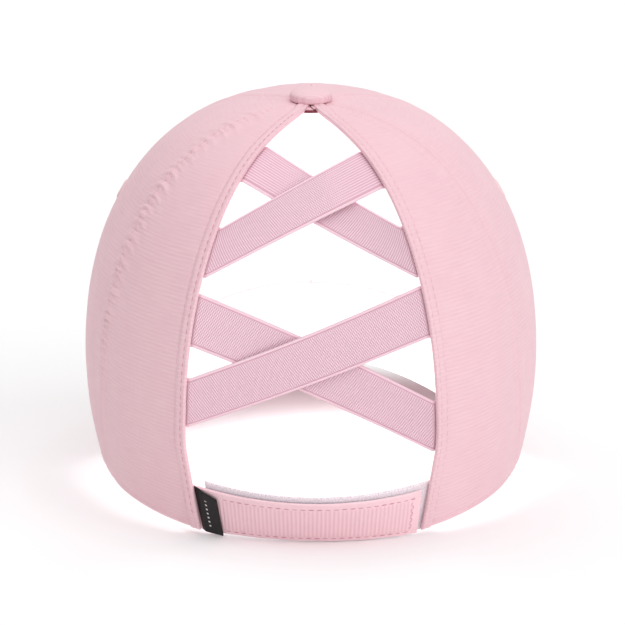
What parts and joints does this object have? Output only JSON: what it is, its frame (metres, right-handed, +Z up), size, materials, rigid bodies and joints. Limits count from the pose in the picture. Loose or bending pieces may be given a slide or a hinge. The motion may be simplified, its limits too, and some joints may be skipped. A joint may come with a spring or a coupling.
{
  "type": "ponytail baseball cap",
  "caption": "Pink six-panel baseball cap with a curved peak and an open back for a ponytail, crossed by elastic bands and closed by a hook-and-loop strap.",
  "frame": {"origin": "on the surface that the cap rests on, under the middle of the whole cap's bounding box", "axes": "+Y from the open back towards the peak, +X to the wearer's right, +Z up"},
  "size_m": [0.1718, 0.2562, 0.1529],
  "materials": {
    "panel_cloth": "light pink woven polyester with fine ribs, soft matt",
    "button_cloth": "the panels' cloth stretched over a button",
    "eyelet_thread": "satin-stitched thread",
    "peak_cloth": "the panels' cloth over a stiff board, with rows of stitching",
    "sweatband_cloth": "nearly white brushed cotton tape",
    "elastic": "woven elastic with smooth selvedges, slightly glossy",
    "strap_cloth": "the panels' cloth with upright ribs and stitched edges",
    "loop_tape": "pale brushed loop tape",
    "label_weave": "black woven satin tab"
  },
  "bodies": {
    "root": {"front_panel_left": "panel_cloth", "front_panel_right": "panel_cloth", "side_panel_left": "panel_cloth", "side_panel_right": "panel_cloth", "back_panel_left": "panel_cloth", "back_panel_right": "panel_cloth", "button": "button_cloth", "eyelet_left": "eyelet_thread", "eyelet_right": "eyelet_thread", "peak": "peak_cloth", "sweatband": "sweatband_cloth", "elastic_upper_over": "elastic", "elastic_upper_under": "elastic", "elastic_lower_over": "elastic", "elastic_lower_under": "elastic", "closure_strap_hook": "strap_cloth", "closure_strap_loop": "loop_tape", "side_label": "label_weave"}
  },
  "joints": []
}
